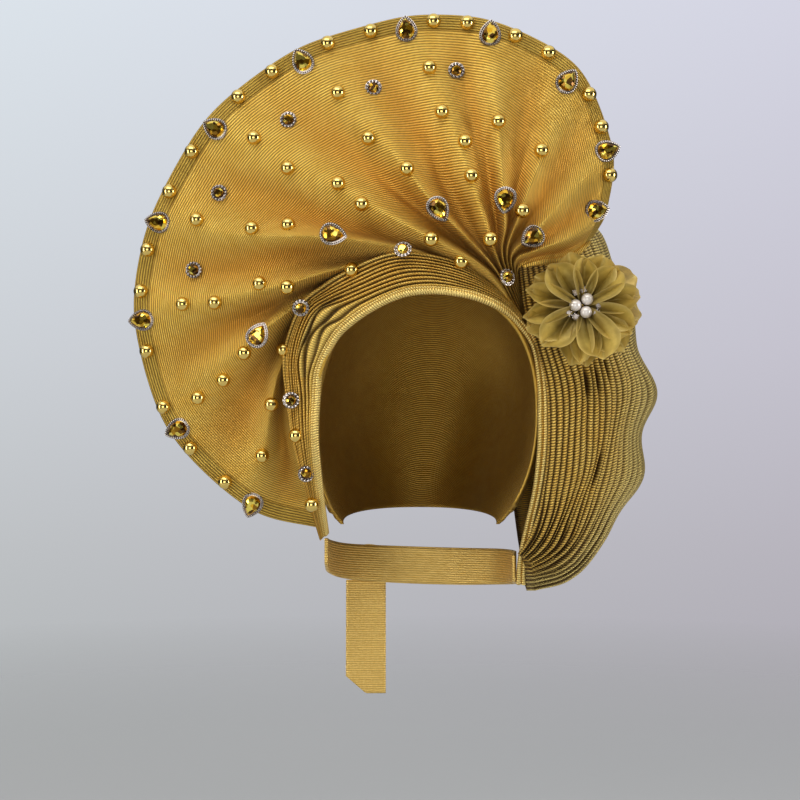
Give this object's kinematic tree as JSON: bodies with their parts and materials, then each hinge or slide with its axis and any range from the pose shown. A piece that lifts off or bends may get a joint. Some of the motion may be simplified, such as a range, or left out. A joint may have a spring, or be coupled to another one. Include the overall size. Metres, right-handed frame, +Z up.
{
  "type": "tied gele head tie",
  "caption": "Stiff gold head tie tied into a wide pleated fan over one side, with rounded pleats round the brow, a hanging drape, an organza flower and amber crystals.",
  "frame": {"origin": "top of the head hollow, on the inside of the cap", "axes": "+Z up, -Y the way the face opening looks, +X to the right as seen from in front"},
  "size_m": [0.3379, 0.1924, 0.4464],
  "materials": {
    "gold_cloth": "satin",
    "light_cloth": "satin",
    "shade_cloth": "satin",
    "organza": "sheer",
    "crystal": "polished",
    "pearl": "pearly",
    "silver": "polished"
  },
  "bodies": {
    "root": {"cap": "shade_cloth", "brow_roll": "light_cloth", "brow_pleats": "gold_cloth", "fan": "gold_cloth", "fan_hem": "gold_cloth", "side_pleats": "gold_cloth", "nape_band": "gold_cloth", "tie_knot": "gold_cloth", "tie_tail": "gold_cloth", "rim_pear_1": "crystal", "rim_pear_2": "crystal", "rim_pear_3": "crystal", "rim_pear_4": "crystal", "rim_pear_5": "crystal", "rim_pear_6": "crystal", "rim_pear_7": "crystal", "rim_pear_8": "crystal", "rim_pear_9": "crystal", "rim_pear_10": "crystal", "rim_pear_11": "crystal", "inner_pear_1": "crystal", "inner_pear_2": "crystal", "inner_pear_3": "crystal", "inner_pear_4": "crystal", "inner_pear_5": "crystal", "valley_round_1": "crystal", "valley_round_2": "crystal", "valley_round_3": "crystal", "valley_round_4": "crystal", "valley_round_5": "crystal", "brow_round_1": "crystal", "brow_round_2": "crystal", "brow_round_3": "crystal", "brow_round_4": "crystal", "brow_round_5": "crystal", "flower_back": "organza", "flower_front": "organza", "pearl_1": "pearl", "sprig_1": "silver", "pearl_2": "pearl", "sprig_2": "silver", "pearl_3": "pearl", "sprig_3": "silver"}
  },
  "joints": []
}
